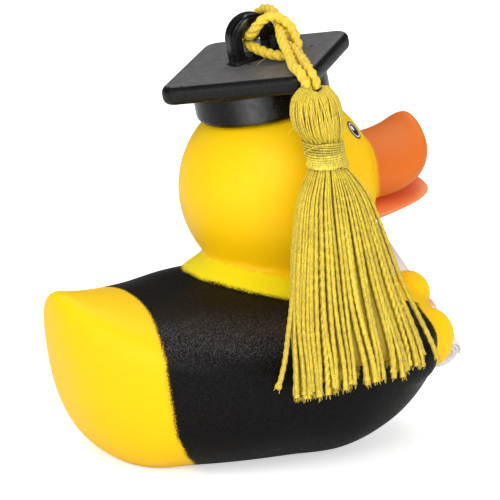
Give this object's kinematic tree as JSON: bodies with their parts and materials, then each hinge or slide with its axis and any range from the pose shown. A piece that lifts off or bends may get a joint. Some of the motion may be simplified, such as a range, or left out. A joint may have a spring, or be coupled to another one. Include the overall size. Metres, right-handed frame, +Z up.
{
  "type": "rubber duck",
  "caption": "Graduation rubber duck: a hollow squeaking vinyl bath duck in gown and square cap, holding a paper scroll, with a golden thread tassel on a cord hitched through the cap's eye loop",
  "frame": {"origin": "On the flat base, straight below the middle of the round head", "axes": "+Z up out of the base, -Y forward through the bill, +X to the duck's own left"},
  "size_m": [0.0799, 0.0866, 0.0923],
  "materials": {
    "painted_vinyl": "satin soft vinyl in yellow, spray painted: black gown and cap, orange bill, white scroll, eyes",
    "squeaker_plastic": "natural white moulded plastic",
    "tassel_thread": "lustrous golden twisted rayon thread"
  },
  "bodies": {
    "root": {"duck_body": "painted_vinyl", "squeaker_housing": "squeaker_plastic", "squeaker_reed": "squeaker_plastic", "tassel_cord": "tassel_thread", "tassel_threads": "tassel_thread", "tassel_binding": "tassel_thread"}
  },
  "joints": []
}
